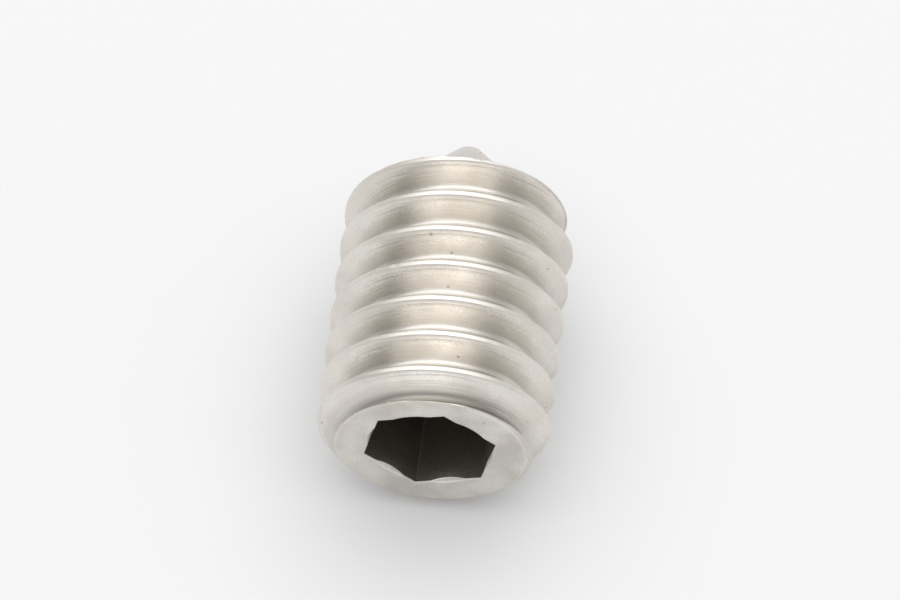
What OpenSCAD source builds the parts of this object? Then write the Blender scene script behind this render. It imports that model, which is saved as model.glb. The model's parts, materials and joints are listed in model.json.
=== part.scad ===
// Headless set screw (grub screw) with a hexagon socket and a cone point.
// It is one piece of steel: a single-start right-hand metric thread runs over its whole length,
// the driven end is flat with a chamfered rim, and the other end is a cone with a small blunt tip.
//
// Frame: the screw lies on its thread. Its axis is the Y axis, the socket opens towards -Y and the
// point is towards +Y. The origin is the centre of the flat socket end. Millimetres and degrees.

/* [Thread] */
// Diameter over the crests of the thread
thread_d = 4; // [3.6:0.1:6]
// Distance along the screw from one crest to the next
pitch = 0.7; // [0.35:0.05:1]
// Turn of the ridge where its middle meets the socket end, clockwise from straight up
thread_start = 130; // [0:5:355]
// Straight facets in one turn of the thread, so placed that one faces straight down
thread_steps = 28; // [24:4:64]

/* [Body] */
// Whole length, from the flat socket end to the blunt tip
screw_length = 6; // [5:0.1:12]
// Diameter of the flat socket end, inside its chamfered rim
socket_end_d = 3.3; // [2.8:0.1:3.9]

/* [Hexagon socket] */
// Width of the socket across its flats, which is the size of its key
socket_af = 2.05; // [1.5:0.05:2.4]
// Depth of the hexagon
socket_depth = 2.5; // [1.5:0.1:3]
// Turn of the hexagon, clockwise from a corner straight up
socket_turn = 12; // [0:1:59]
// Width of the small countersink at the mouth, beyond the flats
mouth_chamfer = 0.06; // [0.02:0.02:0.24]
// Ledge left between the flats and the drilled hole below the hexagon
socket_ledge = 0.06; // [0.02:0.02:0.3]

/* [Cone point] */
// Angle across the cone
point_angle = 90; // [70:5:120]
// Diameter of the blunt tip
tip_d = 0.4; // [0.2:0.1:1.2]
// Height of the small step from the root of the thread down to the cone
point_step = 0.1; // [0.02:0.02:0.2]
// Length over which the last crest falls away to the cone
runout_length = 0.04; // [0.02:0.02:0.4]

/* [Hidden] */

// Proportions of a metric thread: symmetric flanks, a crest flat, and a depth cut from a sharp V
flank_angle = 60;
crest_flat = pitch / 8;
thread_depth = 17 / 24 * pitch * cos(flank_angle / 2);
crest_r = thread_d / 2;
root_r = crest_r - thread_depth;

// The ridge starts inside the core, and the middles of its flat facets lie on the crest diameter
ridge_sink = 0.05 * pitch;
ridge_foot_r = root_r - ridge_sink;
ridge_top_r = crest_r / cos(180 / thread_steps);

// The turned outline clears the corners of the ridge. Its rim chamfer falls at 45 degrees
outline_r = ridge_top_r + ridge_sink;
rim_chamfer = outline_r - socket_end_d / 2;

// The cone starts just under the root of the thread and runs to the blunt tip
point_base_r = root_r - point_step;
point_start = screw_length - (point_base_r - tip_d / 2) / tan(point_angle / 2);
last_crest = point_start - runout_length;

// Hexagon, its countersink and the drilled hole under it
corner_r = socket_af / 2 / cos(30);
mouth_r = socket_af / 2 + mouth_chamfer;
drill_r = socket_af / 2 - socket_ledge;
drill_angle = 120;

// Cutting bodies and the core run past the ends by this much
overrun = 1;
round_steps = 96;

// Half of the ridge's width at a distance from the axis
function ridge_half_width(r) = crest_flat / 2 + (crest_r - r) * tan(flank_angle / 2);

// The four corners of the ridge's section, on the half plane at this turn
function ridge_section(turn) = [
    for (corner = [[ridge_foot_r, -1], [ridge_top_r, -1], [ridge_top_r, 1], [ridge_foot_r, 1]])
        let (r = corner.x, rise = pitch * (turn - thread_start) / 360)
            [r * cos(turn), r * sin(turn), rise + corner.y * ridge_half_width(r)]
];

// The helical ridge: one section every few degrees, from before the socket end to past the last crest
module ridge() {
    first = floor((thread_start / 360 - 1) * thread_steps);
    last = ceil((thread_start / 360 + last_crest / pitch + 1) * thread_steps);
    count = last - first;
    points = [for (i = [first : last]) each ridge_section((i + 0.5) * 360 / thread_steps)];
    sides = [
        for (i = [0 : count - 1], k = [0 : 3])
            let (a = 4 * i + k, b = 4 * i + (k + 1) % 4)
                each [[a, b + 4, a + 4], [a, b, b + 4]]
    ];
    caps = [[3, 2, 1, 0], [for (k = [0 : 3]) 4 * count + k]];
    polyhedron(points, concat(sides, caps));
}

// Everything outside the cylinder of the thread's root: core and ridge, longer than the screw
module threaded_rod() {
    translate([0, 0, -overrun])
        cylinder(h = screw_length + 2 * overrun, r = root_r, $fn = round_steps);
    ridge();
}

// The turned outline: flat end, rim chamfer, room for the crests, run-out, cone and blunt tip
module turned_outline() {
    rotate_extrude($fn = round_steps)
        polygon([
            [0, 0],
            [socket_end_d / 2, 0],
            [outline_r, rim_chamfer],
            [outline_r, last_crest],
            [point_base_r, point_start],
            [tip_d / 2, screw_length],
            [0, screw_length]
        ]);
}

// The socket: hexagon, countersunk mouth and the drilled cone at the bottom
module socket() {
    rotate(socket_turn)
        translate([0, 0, -overrun])
            cylinder(h = socket_depth + overrun, r = corner_r, $fn = 6);
    translate([0, 0, -overrun])
        cylinder(h = mouth_r + overrun, r1 = mouth_r + overrun, r2 = 0, $fn = round_steps);
    translate([0, 0, socket_depth - overrun / 2])
        cylinder(h = overrun / 2, r = drill_r, $fn = round_steps);
    translate([0, 0, socket_depth])
        cylinder(h = drill_r / tan(drill_angle / 2), r1 = drill_r, r2 = 0, $fn = round_steps);
}

// The screw is cut on an upright Z axis, whose first axis X is then turned straight up
module set_screw() {
    color([0.78, 0.76, 0.73])
        rotate([-90, 0, 0])
            rotate(-90)
                difference() {
                    intersection() {
                        threaded_rod();
                        turned_outline();
                    }
                    socket();
                }
}

set_screw();
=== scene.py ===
"""A stainless steel grub set screw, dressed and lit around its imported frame.

The screw is one piece of steel, so it is one mesh: a skin of rings that starts at the bottom of the
hexagon socket, comes out over the flat end and the chamfered rim, follows the thread's own helix and
closes at the tip of the cone point. Each differently worked surface has a finish of its own.

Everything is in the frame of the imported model, with the axis along +Y and the socket towards -Y. Turns
are in radians, clockwise from straight up, seen from the socket end. The screw's sizes are in
millimetres, and its mesh, the floor, the lamps and the camera are in metres.
"""

from __future__ import annotations

import json
import logging
import math
from dataclasses import dataclass, field
from enum import Enum

import bmesh
import bpy
import numpy as np
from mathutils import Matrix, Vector

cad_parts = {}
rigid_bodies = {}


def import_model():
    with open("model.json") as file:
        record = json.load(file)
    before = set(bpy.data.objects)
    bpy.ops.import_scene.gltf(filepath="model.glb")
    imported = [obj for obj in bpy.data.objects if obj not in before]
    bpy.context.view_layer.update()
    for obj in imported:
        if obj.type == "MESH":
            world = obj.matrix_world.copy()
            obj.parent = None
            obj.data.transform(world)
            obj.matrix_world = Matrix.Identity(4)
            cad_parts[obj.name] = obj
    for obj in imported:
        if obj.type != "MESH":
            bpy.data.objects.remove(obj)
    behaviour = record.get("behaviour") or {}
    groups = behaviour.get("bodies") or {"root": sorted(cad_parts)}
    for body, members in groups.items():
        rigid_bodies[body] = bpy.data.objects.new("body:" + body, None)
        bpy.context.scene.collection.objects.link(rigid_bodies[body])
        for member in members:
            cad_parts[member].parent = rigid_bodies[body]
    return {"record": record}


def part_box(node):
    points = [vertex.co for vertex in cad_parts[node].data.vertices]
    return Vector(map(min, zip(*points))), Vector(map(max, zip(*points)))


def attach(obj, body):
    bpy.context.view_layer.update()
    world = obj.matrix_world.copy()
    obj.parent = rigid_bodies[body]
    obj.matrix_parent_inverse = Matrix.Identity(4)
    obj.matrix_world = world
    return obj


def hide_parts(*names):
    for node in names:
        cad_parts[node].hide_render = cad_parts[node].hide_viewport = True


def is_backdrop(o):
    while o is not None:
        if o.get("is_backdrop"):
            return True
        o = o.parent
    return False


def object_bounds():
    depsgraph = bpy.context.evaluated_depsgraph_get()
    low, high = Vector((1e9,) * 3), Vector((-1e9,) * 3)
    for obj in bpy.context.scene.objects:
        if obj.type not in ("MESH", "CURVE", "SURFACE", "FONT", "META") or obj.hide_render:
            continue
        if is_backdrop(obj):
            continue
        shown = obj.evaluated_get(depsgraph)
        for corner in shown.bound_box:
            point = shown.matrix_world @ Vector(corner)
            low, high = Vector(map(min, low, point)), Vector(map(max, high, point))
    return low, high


LOG = logging.getLogger("set_screw")
MM = 0.001
NODE = "set_screw"
BODY = "root"
SIXTH_TURN = math.pi / 3

# One value for all turns, or one for each
Values = np.ndarray | float


def soft_min(a: Values, b: Values, blend: float) -> np.ndarray:
    """The smaller of two sizes, with the corner where they cross rounded off.

    Args:
        a: First size.
        b: Second size.
        blend: Difference of the two within which the corner is rounded.

    Returns:
        The rounded smaller size, never above either of them.
    """
    share = np.clip(0.5 + 0.5 * (b - a) / blend, 0.0, 1.0)
    return b + (a - b) * share - blend * share * (1.0 - share)


def soft_max(a: Values, b: Values, blend: float) -> np.ndarray:
    """The larger of two sizes, rounded where they cross.

    Args:
        a: First size.
        b: Second size.
        blend: Difference of the two within which the corner is rounded.

    Returns:
        The rounded larger size, never below either of them.
    """
    return -soft_min(-a, -np.asarray(b), blend)


class Zone(Enum):
    """The differently worked surfaces of the screw, in the order of their material slots."""

    SOCKET = 0
    END_FACE = 1
    THREAD = 2
    POINT = 3


@dataclass
class Ring:
    """One ring of the skin, with one value for each turn. Skin.add says what they are."""

    radius: np.ndarray
    height: np.ndarray
    across: np.ndarray
    groove: np.ndarray
    edge: np.ndarray
    zone: Zone


@dataclass
class Skin:
    """The surface of the screw as a stack of rings, from the bottom of the socket to the tip."""

    columns: int = 240
    corner_steps: int = 4
    weld: float = 2e-7  # In metres
    sharp_angle: float = math.radians(38)
    rings: list[Ring] = field(default_factory=list)

    @property
    def turns(self) -> np.ndarray:
        """The turn of each column, in radians. The last one lies on the first."""
        return np.linspace(0.0, 2.0 * math.pi, self.columns + 1)

    def spread(self, value: Values) -> np.ndarray:
        """A value at every turn."""
        return np.broadcast_to(np.asarray(value, float), self.turns.shape)

    def add(self, radius: Values, height: Values, zone: Zone, across: Values | None = None,
            groove: Values = 0.0, edge: Values = 0.0) -> None:
        """Adds a ring after the last one.

        Args:
            radius: Distance from the axis.
            height: Distance from the socket end along the axis.
            zone: How the faces that start here are worked.
            across: Distance across the tool marks. The radius if it isn't given.
            groove: 0 on the crests of the thread, 1 at its root, and more near the rim, where the groove is
                painted darker as shade.
            edge: 1 on an edge that is worn and lightened as a painted highlight, 0 away from it.
        """
        marks = radius if across is None else across
        self.rings.append(Ring(*(self.spread(v) for v in (radius, height, marks, groove, edge)), zone))

    def corner(self, before: tuple[Values, Values], tip: tuple[Values, Values],
               after: tuple[Values, Values], zone: Zone, edge: float = 1.0,
               across: Values | None = None) -> None:
        """Adds a rounded corner between two surfaces.

        Args:
            before: Radius and height where the rounding starts.
            tip: Radius and height of the sharp corner that it replaces.
            after: Radius and height where the rounding ends.
            zone: How the rounded faces are worked.
            edge: How worn the middle of the corner is, and how strong its painted highlight.
            across: Distance across the tool marks, or None for the radius.
        """
        for step in range(self.corner_steps + 1):
            t = step / self.corner_steps
            radius, height = (
                (1 - t) ** 2 * a + 2 * t * (1 - t) * b + t ** 2 * c
                for a, b, c in zip(before, tip, after))
            self.add(radius, height, zone, across, edge=edge * (1 - abs(2 * t - 1)))

    def mesh(self, name: str) -> bpy.types.Mesh:
        """Builds the closed mesh, with its zones and its finish attributes.

        Args:
            name: Name of the new mesh.

        Returns:
            The mesh, in metres, smooth with sharp edges where the surface breaks.
        """
        radius, height = (np.array([getattr(r, k) for r in self.rings]) for k in ("radius", "height"))
        places = np.stack([radius * np.sin(self.turns), height, radius * np.cos(self.turns)], -1) * MM
        rows, cols = radius.shape
        index = np.arange(rows * cols).reshape(rows, cols)
        quads = np.stack([index[:-1, :-1], index[:-1, 1:], index[1:, 1:], index[1:, :-1]], -1)
        mesh = bpy.data.meshes.new(name)
        mesh.from_pydata(places.reshape(-1, 3).tolist(), [], quads.reshape(-1, 4).tolist())
        zones = np.repeat([r.zone.value for r in self.rings[:-1]], cols - 1)
        mesh.polygons.foreach_set("material_index", zones.astype(np.int32))
        for key in ("across", "groove", "edge"):
            values = np.array([getattr(r, key) for r in self.rings], np.float32).ravel()
            mesh.attributes.new(key, "FLOAT", "POINT").data.foreach_set("value", values)
        self.close(mesh)
        return mesh

    def close(self, mesh: bpy.types.Mesh) -> None:
        """Joins the seam and the ends of the skin, and marks its sharp edges.

        Args:
            mesh: The open mesh, which is changed.
        """
        sliver = self.weld / 4
        body = bmesh.new()
        body.from_mesh(mesh)
        bmesh.ops.remove_doubles(body, verts=body.verts, dist=self.weld)
        bmesh.ops.dissolve_degenerate(body, edges=body.edges, dist=sliver)
        bmesh.ops.triangulate(body, faces=[f for f in body.faces if len(f.verts) > 4])
        for face in body.faces:
            face.smooth = True
        body.to_mesh(mesh)
        body.free()
        mesh.set_sharp_from_angle(angle=self.sharp_angle)
        mesh.validate()


@dataclass
class HexSocket:
    """The broached hexagon, its countersunk mouth and the drilled cone at its bottom."""

    across_flats: float
    depth: float
    turn: float = math.radians(12)  # Of the corner next to straight up
    mouth_chamfer: float = 0.06  # Width beyond the flats
    least_chamfer: float = 0.014  # Where the corners reach past the countersink
    mouth_blend: float = 0.01  # Width over which the two run together
    ledge: float = 0.06  # Between the flats and the drilled hole
    drill_angle: float = math.radians(120)
    fillet: float = 0.025
    wall_round: float = 0.4  # Share of the fillet that goes down the wall
    wall_wear_and_highlight: float = 0.5  # Wear and painted highlight of the edge between the wall and the mouth
    wall_rings: int = 12
    cone_rings: int = 6

    def from_middle(self, turns: np.ndarray) -> np.ndarray:
        """How far each turn is from that of the middle of its flat."""
        return (turns - self.turn) % SIXTH_TURN - SIXTH_TURN / 2

    def hexagon(self, turns: np.ndarray) -> np.ndarray:
        """Distance from the axis to the flats at each turn."""
        return self.across_flats / 2 / np.cos(self.from_middle(turns))

    def along_flat(self, turns: np.ndarray) -> np.ndarray:
        """Distance along each flat from its middle, which the broach marks lie across."""
        return self.across_flats / 2 * np.tan(self.from_middle(turns))

    def mouth(self, turns: np.ndarray) -> np.ndarray:
        """Radius of the countersink's rim, which the hexagon's corners reach past."""
        countersink = self.across_flats / 2 + self.mouth_chamfer
        return soft_max(self.hexagon(turns) + self.least_chamfer, countersink, self.mouth_blend)

    def build(self, skin: Skin) -> None:
        """Adds the socket, from the point of the drilled cone out to the rim of the mouth.

        Args:
            skin: The skin, which is still empty.
        """
        turns = skin.turns
        flats, mouth, marks = self.hexagon(turns), self.mouth(turns), self.along_flat(turns)
        drill_r = self.across_flats / 2 - self.ledge
        for share in np.linspace(0.0, 1.0, self.cone_rings):
            below = drill_r * (1 - share) / math.tan(self.drill_angle / 2)
            skin.add(drill_r * share, self.depth + below, Zone.SOCKET)
        bottom = self.depth - self.fillet
        skin.corner((flats - self.fillet, self.depth), (flats, self.depth), (flats, bottom),
                    Zone.SOCKET, edge=0.0, across=marks)
        chamfer = mouth - flats
        for share in np.linspace(0.0, 1.0, self.wall_rings + 1)[1:-1]:
            skin.add(flats, bottom + (chamfer + self.fillet - bottom) * share, Zone.SOCKET, marks)
        middle = ((flats + mouth) / 2, chamfer / 2)
        skin.corner((flats, chamfer + self.wall_round * self.fillet), (flats, chamfer), middle,
                    Zone.END_FACE, self.wall_wear_and_highlight, marks)
        skin.corner(middle, (mouth, 0.0), (mouth + self.fillet, 0.0), Zone.END_FACE)


@dataclass
class Thread:
    """The rolled right-hand thread: one helical ridge with a rounded root and softened crests."""

    crest_r: float
    pitch: float = 0.7
    start: float = math.radians(130)  # Where a crest meets the socket end
    half_flank: float = math.radians(30)
    crest_flat: float = 1 / 8  # Share of the pitch
    depth_share: float = 17 / 24  # Of the sharp triangle's height
    root_share: float = 1 / 6  # Of the same height
    crest_blend: float = 0.028
    rim_blend: float = 0.06
    edge_reach: float = 0.017  # Either side of a crest's edge
    edge_rings: int = 6
    flank_rings: int = 11
    root_rings: int = 5
    rim_shade: float = 0.45  # More painted shade where the groove runs out into the rim
    rim_shade_height: float = 0.14  # Where it is darkest
    rim_shade_reach: float = 0.16  # Over which it fades
    wobble: float = 0.0012
    # Waves in a turn, radians for each millimetre along the axis, and phase
    waves: tuple[tuple[float, float, float], ...] = ((2, 1.7, 0.4), (5, -2.3, 1.9))
    nick_seed: int = 11
    nick_count: int = 48
    nick_crests: tuple[int, int] = (1, 7)  # The first, and the one after the last
    nick_scatter: float = 0.03
    nick_reach: tuple[float, float] = (0.03, 0.09)
    nick_depth: tuple[float, float] = (0.004, 0.018)

    @property
    def sharp_height(self) -> float:
        """Height of the sharp triangle that the thread is cut from."""
        return self.pitch / 2 / math.tan(self.half_flank)

    @property
    def root_fillet(self) -> float:
        """Radius of the rounded root."""
        return self.sharp_height * self.root_share

    @property
    def root_r(self) -> float:
        """Distance from the axis to the bottom of the groove."""
        return self.crest_r - self.depth_share * self.sharp_height

    @property
    def crest_edge(self) -> float:
        """Distance from the middle of a crest to the edge of its flat."""
        return self.crest_flat * self.pitch / 2

    def rise(self, turns: Values) -> Values:
        """Height of the first crest at a turn."""
        return self.pitch * (turns - self.start) / (2 * math.pi)

    def offset(self, turns: np.ndarray, height: np.ndarray) -> np.ndarray:
        """Signed distance along the axis from the nearest crest, up to half a pitch either way."""
        along = height - self.rise(turns)
        return along - self.pitch * np.round(along / self.pitch)

    def profile(self, offset: np.ndarray) -> np.ndarray:
        """Radius of the thread at a distance from its crest.

        Args:
            offset: Signed distance along the axis from the nearest crest.

        Returns:
            Distance from the axis.
        """
        flank = self.crest_r - (np.abs(offset) - self.crest_edge) / math.tan(self.half_flank)
        ridge = soft_min(flank, self.crest_r, self.crest_blend)
        inner = self.pitch / 2 - np.abs(offset)
        reach = self.root_fillet * math.cos(self.half_flank)
        arc = np.sqrt(np.maximum(self.root_fillet ** 2 - inner ** 2, 0.0))
        return np.where(inner < reach, self.root_r + self.root_fillet - arc, ridge)

    def ring_offsets(self) -> np.ndarray:
        """Places of the helical rings over one pitch, closest where the surface bends most.

        Returns:
            Offsets from the crest, from just above minus half a pitch to half a pitch.
        """
        bend = self.crest_edge + np.linspace(-self.edge_reach, self.edge_reach, self.edge_rings)
        angles = np.linspace(0.0, math.pi / 2 - self.half_flank, self.root_rings + 1)
        root = self.pitch / 2 - self.root_fillet * np.sin(angles[::-1])
        flank = np.linspace(bend[-1], root[0], self.flank_rings + 2)[1:-1]
        half = np.concatenate([bend, flank, root])
        return np.concatenate([-half[-2::-1], [0.0], half])

    def nicks(self) -> list[tuple[float, float, float, float]]:
        """Small knocks on the crests, the same in each run.

        Returns:
            Turn, height, reach and depth of each knock.
        """
        dice = np.random.default_rng(self.nick_seed)
        found = []
        for _ in range(self.nick_count):
            turn = dice.uniform(0.0, 2 * math.pi)
            crest = self.rise(turn) + self.pitch * dice.integers(*self.nick_crests)
            height = crest + dice.normal(0.0, self.nick_scatter)
            found.append((turn, height, dice.uniform(*self.nick_reach), dice.uniform(*self.nick_depth)))
        return found

    def wear(self, turns: np.ndarray, height: np.ndarray) -> np.ndarray:
        """How much the crests are down from a perfect roll: a slight wobble and the knocks.

        Args:
            turns: Turns.
            height: Heights.

        Returns:
            Loss of radius, never negative.
        """
        wave = sum(np.sin(around * turns + along * height + phase) for around, along, phase in self.waves)
        loss = self.wobble * (len(self.waves) + wave)
        for turn, place, reach, depth in self.nicks():
            gap = (turns - turn + math.pi) % (2 * math.pi) - math.pi
            away = (gap * self.crest_r) ** 2 + (height - place) ** 2
            loss = loss + depth * np.exp(-away / reach ** 2)
        return loss

    def surface(self, turns: np.ndarray, height: np.ndarray, rim: Rim) -> tuple[np.ndarray, np.ndarray]:
        """Radius of the worn thread inside the rim's chamfer.

        Args:
            turns: Turns.
            height: Heights.
            rim: The chamfered rim.

        Returns:
            Distance from the axis, and distance along it from the nearest crest.
        """
        offset = self.offset(turns, height)
        radius = self.profile(offset)
        raised = np.clip((radius - self.root_r) / (self.crest_r - self.root_r), 0.0, 1.0)
        radius = radius - self.wear(turns, height) * raised ** 2
        return soft_min(radius, rim.radius(height), self.rim_blend), offset

    def groove_depth_and_shade(self, radius: np.ndarray, height: np.ndarray) -> np.ndarray:
        """How deep in the groove a place is, raised near the rim where it is painted darker as shade.

        Args:
            radius: Distance from the axis.
            height: Heights.

        Returns:
            0 on the crests, 1 at the root, and more near the rim, for painted shade.
        """
        groove = np.clip((self.crest_r - radius) / (self.crest_r - self.root_r), 0.0, 1.0)
        near_rim = np.exp(-((height - self.rim_shade_height) / self.rim_shade_reach) ** 2)
        return groove * (1.0 + self.rim_shade * near_rim)

    def build(self, skin: Skin, rim: Rim, top: float, fillet: float) -> None:
        """Adds the helical rings, cut off level at both ends.

        Args:
            skin: The skin, which ends at the rim.
            rim: The chamfered rim that cuts into the first turn.
            top: Height at which the last crest ends.
            fillet: Length left at each end for a rounded corner.
        """
        pattern = self.ring_offsets()
        first = math.floor((fillet - self.pitch) / self.pitch) - 1
        last = math.ceil((top + self.pitch) / self.pitch) + 1
        rows = np.concatenate([pattern + k * self.pitch for k in range(first, last + 1)])
        heights = np.clip(self.rise(skin.turns)[None, :] + rows[:, None], fillet, top - fillet)
        for height in self.used(heights):
            radius, offset = self.surface(skin.turns, height, rim)
            marks = np.abs(offset) / math.sin(self.half_flank)
            edge = np.exp(-((np.abs(offset) - self.crest_edge) / self.edge_reach) ** 2)
            skin.add(radius, height, Zone.THREAD, marks, self.groove_depth_and_shade(radius, height), edge)

    def used(self, heights: np.ndarray) -> np.ndarray:
        """The rings that differ from the one before them, as most of the first and last ones don't."""
        return heights[np.concatenate([[True], np.abs(np.diff(heights, axis=0)).max(axis=1) > 0.0])]


@dataclass
class Rim:
    """The flat ring round the socket and the chamfer at its outer edge."""

    face_r: float = 1.65
    face_rings: int = 8

    def radius(self, height: Values) -> np.ndarray:
        """Radius of the 45 degree chamfer at a height."""
        return self.face_r + np.asarray(height, float)

    def build(self, skin: Skin, socket: HexSocket, thread: Thread, fillet: float) -> None:
        """Adds the flat ring and the rounded corner to the chamfer.

        Args:
            skin: The skin, which ends at the socket's mouth.
            socket: The socket that the ring surrounds.
            thread: The thread that cuts into the rim.
            fillet: Reach of the rounded corner.
        """
        turns = skin.turns
        at_face, _ = thread.surface(turns, skin.spread(0.0), self)
        inside, _ = thread.surface(turns, skin.spread(fillet), self)
        inner = socket.mouth(turns) + socket.fillet
        outer = at_face - fillet
        for share in np.linspace(0.0, 1.0, self.face_rings + 1)[1:-1]:
            skin.add(inner + (outer - inner) * share, 0.0, Zone.END_FACE)
        skin.corner((outer, 0.0), (at_face, 0.0), (inside, fillet), Zone.END_FACE)


@dataclass
class ConePoint:
    """The run-out of the last crest, the turned cone and its blunt tip."""

    length: float
    tip_r: float
    root_r: float
    base_step: float = 0.1  # From the root of the thread down to the cone
    half_angle: float = math.radians(45)  # From the axis
    runout: float = 0.04
    fillet: float = 0.03
    most_round: float = 0.4  # Share of the run-out that its rounded start may take
    foot_place: float = 0.9  # Share of the run-out before its rounded foot
    foot_lift: float = 0.25  # Share of the fillet by which that foot stands out
    tip_round: float = 0.6  # Share of the fillet
    tip_dome: float = 0.008
    dome_edge: float = 1 / 3  # Share of the dome's height at its rounded edge
    cone_rings: int = 26
    tip_rings: int = 4

    @property
    def base_r(self) -> float:
        """Radius at which the cone starts."""
        return self.root_r - self.base_step

    @property
    def last_crest(self) -> float:
        """Height at which the last crest ends."""
        return self.height(self.base_r) - self.runout

    def height(self, radius: float) -> float:
        """Height of the cone at a radius."""
        return self.length - (radius - self.tip_r) / math.tan(self.half_angle)

    def build(self, skin: Skin, thread: Thread, rim: Rim, fillet: float) -> None:
        """Adds the end of the thread, the cone and the tip, and closes the skin.

        Args:
            skin: The skin, which ends at the last helical ring.
            thread: The thread that ends here.
            rim: The rim, whose chamfer the thread's surface takes into account.
            fillet: Length that the thread left for its rounded end.
        """
        self.build_runout(skin, thread, rim, fillet)
        base = (self.base_r, self.height(self.base_r))
        foot = (self.base_r + self.foot_lift * self.fillet, self.last_crest + self.runout * self.foot_place)
        start = (base[0] - self.fillet * math.sin(self.half_angle),
                 base[1] + self.fillet * math.cos(self.half_angle))
        skin.corner(foot, base, start, Zone.POINT, edge=0.0)
        start_r, end_r = start[0], self.tip_r + self.tip_round * self.fillet
        for part in np.linspace(0.0, 1.0, self.cone_rings + 1)[1:-1]:
            radius = start_r + (end_r - start_r) * part
            skin.add(radius, self.height(radius), Zone.POINT)
        self.build_tip(skin, end_r)

    def build_runout(self, skin: Skin, thread: Thread, rim: Rim, fillet: float) -> None:
        """Adds the rounded corner from the last helical ring into the run-out.

        Args:
            skin: The skin, which ends at the last helical ring.
            thread: The thread that ends here.
            rim: The rim, whose chamfer the thread's surface takes into account.
            fillet: Length that the thread left for this corner.
        """
        turns, top = skin.turns, self.last_crest
        before, _ = thread.surface(turns, skin.spread(top - fillet), rim)
        tip, _ = thread.surface(turns, skin.spread(top), rim)
        share = np.minimum(self.most_round, self.fillet / np.maximum(tip - self.base_r, self.fillet))
        after = (tip + (self.base_r - tip) * share, top + self.runout * share)
        skin.corner((before, top - fillet), (tip, top), after, Zone.THREAD)

    def build_tip(self, skin: Skin, start_r: float) -> None:
        """Adds the rounded edge and the dome of the blunt tip.

        Args:
            skin: The skin, which ends at the last ring of the cone.
            start_r: Radius at which the rounded edge starts.
        """
        inner = self.tip_r - self.tip_round * self.fillet
        foot = self.length - self.tip_dome * (1 - self.dome_edge)
        skin.corner((start_r, self.height(start_r)), (self.tip_r, self.length), (inner, foot),
                    Zone.POINT)
        for part in np.linspace(0.0, 1.0, self.tip_rings + 1)[1:]:
            radius = inner * (1 - part)
            dome = self.tip_dome * (1 - self.dome_edge) * (1 - (radius / inner) ** 2)
            skin.add(radius, foot + dome, Zone.POINT)


class Graph:
    """A node tree that is being wired."""

    def __init__(self, tree: bpy.types.NodeTree) -> None:
        """Keeps the tree that the nodes go into."""
        self.tree = tree

    def feed(self, node: bpy.types.Node, inputs: dict) -> None:
        """Sets or links inputs of a node.

        Args:
            node: The node.
            inputs: Sockets by name or number, each with a plain value or with a socket that feeds it.
        """
        for key, value in inputs.items():
            if isinstance(value, bpy.types.NodeSocket):
                self.tree.links.new(value, node.inputs[key])
            else:
                node.inputs[key].default_value = value

    def add(self, kind: str, inputs: dict | None = None, **settings: object) -> bpy.types.Node:
        """Adds one node.

        Args:
            kind: Type of the node.
            inputs: Its inputs, as for feed.
            settings: Other properties of the node.

        Returns:
            The new node.
        """
        node = self.tree.nodes.new(kind)
        for key, value in settings.items():
            setattr(node, key, value)
        self.feed(node, inputs or {})
        return node

    def math(self, operation: str, *values: object, clamp: bool = False) -> bpy.types.NodeSocket:
        """Adds a Math node.

        Args:
            operation: What it works out.
            values: Its inputs, in order.
            clamp: Whether the result stays from 0 to 1.

        Returns:
            The socket with the result.
        """
        node = self.add("ShaderNodeMath", dict(enumerate(values)), operation=operation, use_clamp=clamp)
        return node.outputs[0]

    def noise(self, vector: bpy.types.NodeSocket, scale: object, detail: float = 3.0,
              roughness: float = 0.55) -> bpy.types.NodeSocket:
        """Adds a noise texture.

        Args:
            vector: Where it is read.
            scale: Waves per millimetre.
            detail: Number of finer layers.
            roughness: Strength of the finer layers.

        Returns:
            The socket with the noise, about 0.5 on average.
        """
        node = self.add("ShaderNodeTexNoise",
                        {"Vector": vector, "Scale": scale, "Detail": detail, "Roughness": roughness})
        return node.outputs["Fac"]

    def ramp(self, value: bpy.types.NodeSocket, low: object, high: object, bottom: object = 0.0,
             top: object = 1.0) -> bpy.types.NodeSocket:
        """Adds a smooth step.

        Args:
            value: What is mapped.
            low: Value at which the step starts.
            high: Value at which it ends.
            bottom: Result below the step.
            top: Result above it.

        Returns:
            The socket with the result.
        """
        spans = {"Value": value, "From Min": low, "From Max": high, "To Min": bottom, "To Max": top}
        return self.add("ShaderNodeMapRange", spans, interpolation_type="SMOOTHSTEP").outputs["Result"]

    def mix(self, share: bpy.types.NodeSocket, a: object, b: object) -> bpy.types.NodeSocket:
        """Adds a mix of two values.

        Args:
            share: Share of the second value.
            a: First value.
            b: Second value.

        Returns:
            The socket with the mixed value.
        """
        first = self.math("MULTIPLY", a, self.math("SUBTRACT", 1.0, share))
        return self.math("ADD", first, self.math("MULTIPLY", share, b))

    def blend(self, share: object, a: object, b: object) -> bpy.types.NodeSocket:
        """Adds a colour mix.

        Args:
            share: Share of the second colour.
            a: First colour.
            b: Second colour.

        Returns:
            The socket with the mixed colour.
        """
        node = self.add("ShaderNodeMix", {"Factor": share, 6: a, 7: b}, data_type="RGBA")
        return node.outputs[2]


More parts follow.
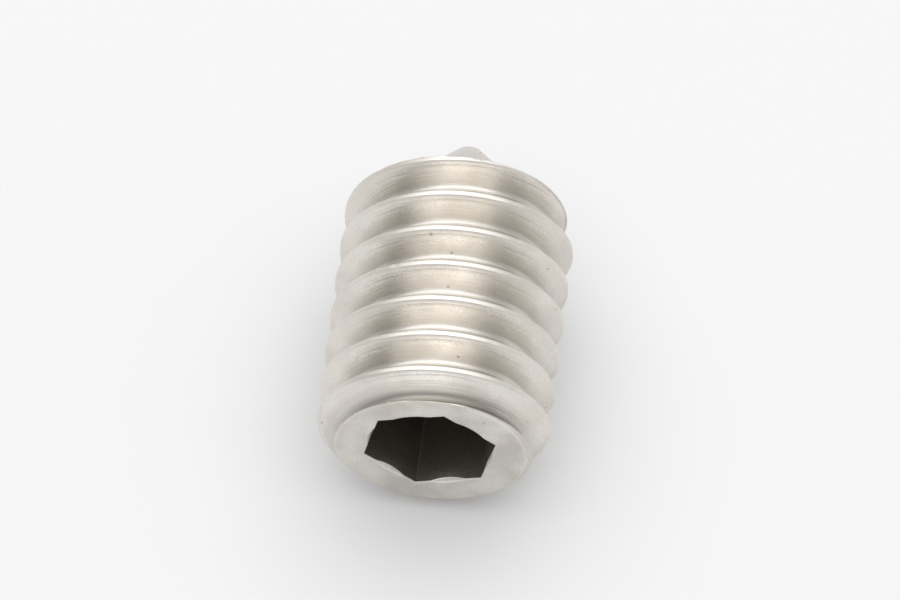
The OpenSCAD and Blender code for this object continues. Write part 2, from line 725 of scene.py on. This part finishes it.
class EffectGroup:
    """A shader node group with named inputs and outputs, built once and shared by the finishes."""

    name = "effect"
    inputs: tuple[tuple[str, str, object], ...] = ()
    outputs: tuple[tuple[str, str], ...] = ()

    def __init__(self) -> None:
        """Makes the group, its sockets and its nodes."""
        self.group = bpy.data.node_groups.new(self.name, "ShaderNodeTree")
        for label, kind, value in self.inputs:
            socket = self.group.interface.new_socket(label, in_out="INPUT", socket_type=f"NodeSocket{kind}")
            if value is not None:
                socket.default_value = value
        for label, kind in self.outputs:
            self.group.interface.new_socket(label, in_out="OUTPUT", socket_type=f"NodeSocket{kind}")
        graph = Graph(self.group)
        source = graph.add("NodeGroupInput").outputs
        graph.add("NodeGroupOutput", self.wire(graph, source))

    def wire(self, graph: Graph, source: bpy.types.bpy_prop_collection) -> dict:
        """Adds the group's nodes.

        Args:
            graph: Where they go.
            source: The group's own inputs.

        Returns:
            The sockets that feed the outputs, by name.
        """
        raise NotImplementedError

    def place(self, graph: Graph, inputs: dict) -> bpy.types.bpy_prop_collection:
        """Places the group in a material.

        Args:
            graph: The material's nodes.
            inputs: Values or sockets for the group's inputs, by name.

        Returns:
            The outputs of the placed group.
        """
        node = graph.add("ShaderNodeGroup")
        node.node_tree = self.group
        graph.feed(node, inputs)
        return node.outputs


class SteelTone(EffectGroup):
    """Slow and fine changes of tone over plain steel."""

    name = "steel_tone"
    inputs = (("Vector", "Vector", None), ("Bright", "Color", None), ("Dull", "Color", None),
              ("Patch Scale", "Float", 1.2), ("Grain Scale", "Float", 22.0))
    outputs = (("Color", "Color"), ("Value", "Float"))
    patch_span = (0.3, 0.7)
    patch_share = 0.6
    grain_span = (0.25, 0.75)
    grain_share = 0.4

    def wire(self, graph: Graph, source: bpy.types.bpy_prop_collection) -> dict:
        """Mixes two tones by broad patches and a fine grain.

        Args:
            graph: Where the nodes go.
            source: The group's own inputs.

        Returns:
            The sockets that feed the outputs.
        """
        broad = graph.noise(source["Vector"], source["Patch Scale"], detail=2.0)
        fine = graph.noise(source["Vector"], source["Grain Scale"], detail=4.0, roughness=0.7)
        patches = graph.math("MULTIPLY", graph.ramp(broad, *self.patch_span), self.patch_share)
        grain = graph.math("MULTIPLY", graph.ramp(fine, *self.grain_span), self.grain_share)
        value = graph.math("ADD", patches, grain)
        return {"Color": graph.blend(value, source["Bright"], source["Dull"]), "Value": value}


class ToolMarks(EffectGroup):
    """Fine parallel lines left by rolling, turning or broaching."""

    name = "tool_marks"
    inputs = (("Vector", "Vector", None), ("Across", "Float", 0.0), ("Spacing", "Float", 0.03),
              ("Depth", "Float", 0.001))
    outputs = (("Height", "Float"), ("Mask", "Float"))
    waver_scale = 2.5
    waver_reach = 0.03
    line_span = (0.35, 0.65)
    fade_scale = 1.7
    fade_span = (0.25, 0.75)
    faintest = 0.3

    def wire(self, graph: Graph, source: bpy.types.bpy_prop_collection) -> dict:
        """Draws lines across one distance, which waver and fade a little on their way.

        Args:
            graph: Where the nodes go.
            source: The group's own inputs.

        Returns:
            The sockets that feed the outputs.
        """
        slow = graph.noise(source["Vector"], self.waver_scale, detail=1.0)
        waver = graph.math("MULTIPLY", slow, self.waver_reach)
        place = graph.math("DIVIDE", graph.math("ADD", source["Across"], waver), source["Spacing"])
        lines = graph.add("ShaderNodeTexNoise", {"W": place, "Scale": 1.0, "Detail": 2.0, "Roughness": 0.6},
                          noise_dimensions="1D").outputs["Fac"]
        fade = graph.noise(source["Vector"], self.fade_scale, detail=2.0)
        strength = graph.ramp(fade, *self.fade_span, self.faintest, 1.0)
        mask = graph.math("MULTIPLY", graph.ramp(lines, *self.line_span), strength)
        return {"Height": graph.math("MULTIPLY", mask, source["Depth"]), "Mask": mask}


class SurfaceGrain(EffectGroup):
    """The satin grain of tumbled steel, with scattered small pits."""

    name = "surface_grain"
    inputs = (("Vector", "Vector", None), ("Grain Scale", "Float", 30.0), ("Grain Depth", "Float", 0.001),
              ("Pit Scale", "Float", 2.6), ("Pit Size", "Float", 0.1), ("Pit Depth", "Float", 0.004))
    outputs = (("Height", "Float"), ("Pits", "Float"))
    chosen_scale = 1.1
    chosen_above = 0.5

    def wire(self, graph: Graph, source: bpy.types.bpy_prop_collection) -> dict:
        """Adds a fine uneven grain and round pits at scattered points.

        Args:
            graph: Where the nodes go.
            source: The group's own inputs.

        Returns:
            The sockets that feed the outputs.
        """
        grain = graph.noise(source["Vector"], source["Grain Scale"], roughness=0.65)
        cells = graph.add("ShaderNodeTexVoronoi", {"Vector": source["Vector"], "Scale": source["Pit Scale"]})
        patches = graph.noise(source["Vector"], self.chosen_scale, detail=1.0)
        chosen = graph.math("GREATER_THAN", patches, self.chosen_above)
        near = graph.ramp(cells.outputs["Distance"], 0.0, source["Pit Size"], 1.0, 0.0)
        pits = graph.math("MULTIPLY", near, chosen)
        height = graph.math("SUBTRACT", graph.math("MULTIPLY", grain, source["Grain Depth"]),
                            graph.math("MULTIPLY", pits, source["Pit Depth"]))
        return {"Height": height, "Pits": pits}


class GrooveGrimeAndShade(EffectGroup):
    """Dark oily film and painted shade in the root of the thread, with more painted shade where the groove
    meets the rim.
    """

    name = "groove_grime_and_shade"
    inputs = (("Vector", "Vector", None), ("Groove", "Float", 0.0), ("Start", "Float", 0.55),
              ("Amount", "Float", 0.5))
    outputs = (("Mask", "Float"),)
    patch_scale = 3.5
    patch_reach = 0.35
    rim_shade_strength = 1.3

    def wire(self, graph: Graph, source: bpy.types.bpy_prop_collection) -> dict:
        """Fills the deep part of the groove patchily, and more where its depth is given as over 1.

        Args:
            graph: Where the nodes go.
            source: The group's own inputs.

        Returns:
            The socket that feeds the output.
        """
        patches = graph.math("SUBTRACT", graph.noise(source["Vector"], self.patch_scale), 0.5)
        uneven = graph.math("MULTIPLY", patches, self.patch_reach)
        deep = graph.ramp(graph.math("ADD", source["Groove"], uneven), source["Start"], 1.0)
        # Painted shade where the groove meets the rim, given as a depth over 1
        over = graph.math("MAXIMUM", graph.math("SUBTRACT", source["Groove"], 1.0), 0.0)
        rim_shade = graph.math("MULTIPLY", over, self.rim_shade_strength)
        return {"Mask": graph.math("MULTIPLY_ADD", deep, source["Amount"], rim_shade, clamp=True)}


class EdgeBurnishAndHighlight(EffectGroup):
    """Edges and crests that handling has rubbed bright, with a painted highlight that lightens their colour.
    """

    name = "edge_burnish_and_highlight"
    inputs = (("Vector", "Vector", None), ("Edge", "Float", 0.0), ("Amount", "Float", 0.5))
    outputs = (("Mask", "Float"),)
    patch_scale = 2.2
    patch_span = (0.3, 0.7)
    faintest_wear_and_highlight = 0.35

    def wire(self, graph: Graph, source: bpy.types.bpy_prop_collection) -> dict:
        """Brightens the edge as wear and a painted highlight, more in some places than in others.

        Args:
            graph: Where the nodes go.
            source: The group's own inputs.

        Returns:
            The socket that feeds the output.
        """
        patches = graph.noise(source["Vector"], self.patch_scale)
        strength = graph.ramp(patches, *self.patch_span, self.faintest_wear_and_highlight, 1.0)
        wear_and_highlight = graph.math("MULTIPLY", source["Edge"], strength)
        return {"Mask": graph.math("MULTIPLY", wear_and_highlight, source["Amount"], clamp=True)}


class Effects:
    """The node groups that every finish of the screw uses."""

    def __init__(self) -> None:
        """Builds each group once."""
        self.tone = SteelTone()
        self.marks = ToolMarks()
        self.grain = SurfaceGrain()
        self.grime_and_shade = GrooveGrimeAndShade()
        self.burnish_and_highlight = EdgeBurnishAndHighlight()


@dataclass(frozen=True)
class SteelFinish:
    """How one zone of the screw is finished. Depths and spacings are in millimetres."""

    name: str
    bright: tuple[float, float, float]
    dull: tuple[float, float, float]
    roughness: float
    rough_spread: float = 0.08  # Added in the dullest patches
    mark_spacing: float = 0.03
    mark_depth: float = 0.0008
    grain_depth: float = 0.001
    pit_depth: float = 0.004
    pit_size: float = 0.1  # Share of the usual distance between pits
    # Share by which the pits are darkened towards the dark tint
    pit_darkening: float = 0.8
    # Strength of the dirt and painted shade in the root of the groove
    grime_and_shade: float = 0.0
    grime_and_shade_start: float = 0.55  # Depth in the groove, from 0 to 1
    # Colour of the dirt and painted shade, and of the darkened pits
    grime_and_shade_tint: tuple[float, float, float] = (0.20, 0.18, 0.16)
    grime_rough: float = 0.25  # Added where that dark tint is mixed in
    # Wear and painted highlight: the edge's colour is lightened towards the bright tone
    burnish_and_highlight: float = 0.4
    burnish_gloss: float = 0.08  # Taken off a rubbed edge's roughness
    crest_rough: float = 0.0  # Added on the crests of the thread
    crest_reach: float = 0.15  # Depth in the groove at which that ends

    def material(self, effects: Effects) -> bpy.types.Material:
        """Builds the material.

        Args:
            effects: The shared node groups.

        Returns:
            The material, with its Principled shader set.
        """
        made = bpy.data.materials.new(self.name)
        made.use_nodes = True
        graph = Graph(made.node_tree)
        place = graph.add("ShaderNodeTexCoord").outputs["Object"]
        scaled = graph.add("ShaderNodeVectorMath", {0: place, "Scale": 1 / MM}, operation="SCALE")
        where = scaled.outputs["Vector"]
        across, groove, edge = (
            graph.add("ShaderNodeAttribute", attribute_name=key).outputs["Fac"]
            for key in ("across", "groove", "edge"))
        tone = effects.tone.place(graph, {
            "Vector": where, "Bright": (*self.bright, 1), "Dull": (*self.dull, 1)})
        marks = effects.marks.place(graph, {
            "Vector": where, "Across": across, "Spacing": self.mark_spacing, "Depth": self.mark_depth})
        grain = effects.grain.place(graph, {
            "Vector": where, "Grain Depth": self.grain_depth, "Pit Depth": self.pit_depth,
            "Pit Size": self.pit_size})
        grime_and_shade = effects.grime_and_shade.place(graph, {
            "Vector": where, "Groove": groove, "Start": self.grime_and_shade_start, "Amount": self.grime_and_shade})["Mask"]
        wear_and_highlight = effects.burnish_and_highlight.place(graph, {
            "Vector": where, "Edge": edge, "Amount": self.burnish_and_highlight})["Mask"]
        # Dirt and painted shade in the groove, more painted shade by the rim, and the darkened pits all take
        # the dark tint
        dirt_and_shade = graph.math("MAXIMUM", grime_and_shade, graph.math("MULTIPLY", grain["Pits"], self.pit_darkening))
        colour = graph.blend(dirt_and_shade, tone["Color"], (*self.grime_and_shade_tint, 1))
        # Painted highlight and wear: edges and crests lightened towards the bright tone
        colour = graph.blend(wear_and_highlight, colour, (*self.bright, 1))
        crests = graph.ramp(groove, 0.0, self.crest_reach, self.crest_rough, 0.0)
        rough = graph.math("MULTIPLY_ADD", tone["Value"], self.rough_spread, self.roughness)
        rough = graph.math("MULTIPLY_ADD", dirt_and_shade, self.grime_rough, rough)
        rough = graph.math("ADD", crests, rough)
        rough = graph.math("MULTIPLY_ADD", wear_and_highlight, -self.burnish_gloss, rough, clamp=True)
        height = graph.math("ADD", marks["Height"], grain["Height"])
        bump = graph.add("ShaderNodeBump", {"Height": height, "Distance": MM, "Strength": 1.0})
        graph.feed(made.node_tree.nodes["Principled BSDF"], {
            "Metallic": 1.0, "Base Color": colour, "Roughness": rough, "Normal": bump.outputs["Normal"]})
        return made


FINISHES = {
    # Painted shade: the socket's steel is coloured far darker than the rest, for the shade inside it
    Zone.SOCKET: SteelFinish(
        "socket_bore_painted_shade", bright=(0.36, 0.33, 0.285), dull=(0.20, 0.18, 0.15), roughness=0.45,
        mark_spacing=0.05, mark_depth=0.004, burnish_and_highlight=0.0),
    Zone.END_FACE: SteelFinish(
        "pressed_end", bright=(0.80, 0.765, 0.715), dull=(0.53, 0.50, 0.46), roughness=0.34,
        mark_spacing=0.05, mark_depth=0.0012, grain_depth=0.003, burnish_and_highlight=0.5),
    Zone.THREAD: SteelFinish(
        "rolled_thread", bright=(0.79, 0.758, 0.71), dull=(0.685, 0.65, 0.595), roughness=0.24,
        mark_spacing=0.05, mark_depth=0.0026, pit_size=0.13, grime_and_shade=0.22, grime_and_shade_start=0.3,
        crest_rough=0.16),
    Zone.POINT: SteelFinish(
        "turned_point", bright=(0.72, 0.69, 0.645), dull=(0.60, 0.57, 0.525), roughness=0.3,
        mark_spacing=0.022, mark_depth=0.0016),
}


@dataclass
class SetScrew:
    """The whole screw: its sizes from the frame, its skin and its finishes."""

    record: dict
    fillet: float = 0.03  # Reach of the rounded corners at both ends of the thread

    def __post_init__(self) -> None:
        """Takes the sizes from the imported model, and those of socket and tip from its record's mounts."""
        low, high = (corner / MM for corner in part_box(NODE))
        sizes = {mount["name"]: mount["dims"] for mount in self.record["mounts"]}
        self.socket = HexSocket(2 * sizes["hexagon_socket"]["r_mm"], sizes["hexagon_socket"]["length_mm"])
        self.rim = Rim()
        self.thread = Thread((high.x - low.x) / 2)
        self.point = ConePoint(high.y, sizes["cone_point"]["r_mm"], self.thread.root_r)

    def build(self) -> bpy.types.Object:
        """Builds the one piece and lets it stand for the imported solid.

        Returns:
            The dressed screw.
        """
        skin = Skin()
        self.socket.build(skin)
        self.rim.build(skin, self.socket, self.thread, self.fillet)
        self.thread.build(skin, self.rim, self.point.last_crest, self.fillet)
        self.point.build(skin, self.thread, self.rim, self.fillet)
        mesh = skin.mesh("screw_body")
        screw = bpy.data.objects.new("screw_body", mesh)
        bpy.context.scene.collection.objects.link(screw)
        effects = Effects()
        for zone in Zone:
            mesh.materials.append(FINISHES[zone].material(effects))
        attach(screw, BODY)
        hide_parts(NODE)
        LOG.info("screw_body: %d rings, %d faces", len(skin.rings), len(mesh.polygons))
        return screw


@dataclass(frozen=True)
class Softbox:
    """A large even lamp. Lengths are in metres."""

    name: str
    size: tuple[float, float]
    place: tuple[float, float, float]
    radiance: float

    def build(self) -> None:
        """Adds the lamp, aimed at the screw and unseen by the camera."""
        lamp = bpy.data.lights.new(self.name, "AREA")
        lamp.shape = "RECTANGLE"
        lamp.size, lamp.size_y = self.size
        lamp.energy = self.radiance * math.pi * self.size[0] * self.size[1]
        stand = bpy.data.objects.new(self.name, lamp)
        stand.location = self.place
        stand.rotation_euler = (-Vector(self.place)).to_track_quat("-Z", "Y").to_euler()
        stand.visible_camera = False
        bpy.context.scene.collection.objects.link(stand)
        LOG.info("%s: %.1f W", self.name, lamp.energy)


@dataclass
class Studio:
    """The pale floor, the soft light and the camera. Lengths are in metres.

    The world's light changes with the X, Y and Z of the direction in which it is seen, as a unit vector. A
    span says between which two of these values one level turns into another."""

    low: Vector
    high: Vector
    floor_size: float = 6.0
    floor_colour: tuple[float, float, float] = (0.635, 0.635, 0.64)
    floor_rough: float = 0.8
    floor_glow: float = 0.11  # Seen only directly, in reflections and through glass
    left_level: float = 0.45
    right_level: float = 0.64
    side_span: tuple[float, float] = (-0.3, 0.5)  # In X
    dark_level: float = 0.5  # The dim place in front
    dark_span: tuple[float, float] = (-0.6, -0.1)  # In Y
    dark_top: float = math.radians(52)
    dark_blend: float = 0.1  # Either side of its top, in Z
    crown_level: float = 0.86  # Added by the bright place overhead
    crown_place: float = -0.05  # Its middle, in X
    crown_reach: float = 1.25  # To each side, in X
    crown_rise: tuple[float, float] = (0.4, 0.75)  # In Z
    crown_span: tuple[float, float] = (-0.3, 0.4)  # In Y, from its front
    crown_front: float = 0.6  # Share of its level in front
    wall_level: float = 0.92
    wall_top: float = math.radians(7)
    wall_blend: tuple[float, float] = (0.5, 1.5)  # Shares of the walls' height
    azimuth: float = math.radians(6.7)
    elevation: float = math.radians(59)
    distance: float = 0.2
    view_height: float = 0.0103
    aspect: float = 1.5  # Width of the view over its height
    sensor_width: float = 36.0  # In millimetres
    clip: tuple[float, float] = (0.01, 10.0)
    softboxes: tuple[Softbox, ...] = (
        Softbox("top_softbox", (2.35, 2.5), (-0.08, 0.2, 1.3), 0.86),
        Softbox("low_softbox", (0.8, 0.2), (0.0, -1.3, 0.06), 1.3),
    )

    def build(self) -> None:
        """Builds the whole setting."""
        self.floor()
        self.world()
        for softbox in self.softboxes:
            softbox.build()
        self.camera()

    def floor(self) -> None:
        """Lays the floor under the screw."""
        half, level = self.floor_size / 2, self.low.z
        corners = [(x * half, y * half, level) for x, y in ((-1, -1), (1, -1), (1, 1), (-1, 1))]
        mesh = bpy.data.meshes.new("floor")
        mesh.from_pydata(corners, [], [(0, 1, 2, 3)])
        mesh.materials.append(self.paper())
        sheet = bpy.data.objects.new("floor", mesh)
        bpy.context.scene.collection.objects.link(sheet)
        sheet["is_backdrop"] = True

    def paper(self) -> bpy.types.Material:
        """Builds the floor's matt material.

        Returns:
            The material, whose glow only the camera, reflections and light let through can see.
        """
        paper = bpy.data.materials.new("pale_floor")
        paper.use_nodes = True
        graph = Graph(paper.node_tree)
        rays = graph.add("ShaderNodeLightPath").outputs
        seen = graph.math("MAXIMUM", rays["Is Camera Ray"], rays["Is Glossy Ray"])
        seen = graph.math("MAXIMUM", seen, rays["Is Transmission Ray"])
        glow = graph.math("MULTIPLY", seen, self.floor_glow)
        graph.feed(paper.node_tree.nodes["Principled BSDF"], {
            "Base Color": (*self.floor_colour, 1), "Roughness": self.floor_rough,
            "Emission Color": (1.0, 1.0, 1.0, 1.0), "Emission Strength": glow})
        return paper

    def world(self) -> None:
        """Surrounds the screw with low pale walls, dim sides, a bright crown and a dim place in front."""
        world = bpy.data.worlds.new("room")
        world.use_nodes = True
        graph = Graph(world.node_tree)
        seen = graph.add("ShaderNodeTexCoord").outputs["Generated"]
        way = graph.add("ShaderNodeSeparateXYZ", {0: seen}).outputs
        sides = graph.ramp(way["X"], *self.side_span, self.left_level, self.right_level)
        sky = graph.mix(self.front(graph, way), self.crown(graph, way, sides), self.dark_level)
        wall = math.sin(self.wall_top)
        above = graph.ramp(way["Z"], *(wall * share for share in self.wall_blend))
        graph.feed(world.node_tree.nodes["Background"], {
            "Color": (1.0, 1.0, 1.0, 1.0), "Strength": graph.mix(above, self.wall_level, sky)})
        bpy.context.scene.world = world

    def front(self, graph: Graph, way: bpy.types.bpy_prop_collection) -> bpy.types.NodeSocket:
        """Marks the dim place in front of the screw.

        Args:
            graph: The world's nodes.
            way: X, Y and Z of the direction.

        Returns:
            The socket with 1 in that place and 0 away from it.
        """
        top = math.sin(self.dark_top)
        ahead = graph.ramp(way["Y"], *self.dark_span, 1.0, 0.0)
        under = graph.ramp(way["Z"], top - self.dark_blend, top + self.dark_blend, 1.0, 0.0)
        return graph.math("MULTIPLY", ahead, under)

    def crown(self, graph: Graph, way: bpy.types.bpy_prop_collection,
              sides: bpy.types.NodeSocket) -> bpy.types.NodeSocket:
        """Adds the bright place overhead, which falls off softly to the left and the right.

        Args:
            graph: The world's nodes.
            way: X, Y and Z of the direction.
            sides: Light without that place.

        Returns:
            The socket with the light of both.
        """
        aside = graph.math("ABSOLUTE", graph.math("SUBTRACT", way["X"], self.crown_place))
        crown = graph.ramp(aside, 0.0, self.crown_reach, self.crown_level, 0.0)
        depth = graph.ramp(way["Y"], *self.crown_span, self.crown_front, 1.0)
        high = graph.math("MULTIPLY", graph.ramp(way["Z"], *self.crown_rise), depth)
        return graph.math("MULTIPLY_ADD", crown, high, sides)

    def camera(self) -> None:
        """Puts a long lens over the socket end, aimed at the middle of the screw."""
        lens = bpy.data.cameras.new("camera")
        lens.sensor_width = self.sensor_width
        lens.lens = self.sensor_width * self.distance / (self.view_height * self.aspect)
        lens.clip_start, lens.clip_end = self.clip
        ahead, up = math.cos(self.elevation), math.sin(self.elevation)
        back = Vector((math.sin(self.azimuth) * ahead, -math.cos(self.azimuth) * ahead, up))
        stand = bpy.data.objects.new("camera", lens)
        stand.location = (self.low + self.high) / 2 + back * self.distance
        stand.rotation_euler = (-back).to_track_quat("-Z", "Y").to_euler()
        bpy.context.scene.collection.objects.link(stand)
        bpy.context.scene.camera = stand
        LOG.info("camera: %.0f mm lens", lens.lens)


def clear_scene() -> None:
    """Removes whatever the new file starts with."""
    for thing in list(bpy.data.objects):
        bpy.data.objects.remove(thing)


def main() -> None:
    """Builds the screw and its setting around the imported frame."""
    logging.basicConfig(level=logging.INFO, format="%(name)s: %(message)s")
    clear_scene()
    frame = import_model()
    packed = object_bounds()
    bpy.context.scene.view_settings.view_transform = "Standard"
    Studio(*packed).build()
    SetScrew(frame["record"]).build()


if __name__ == "__main__":
    main()
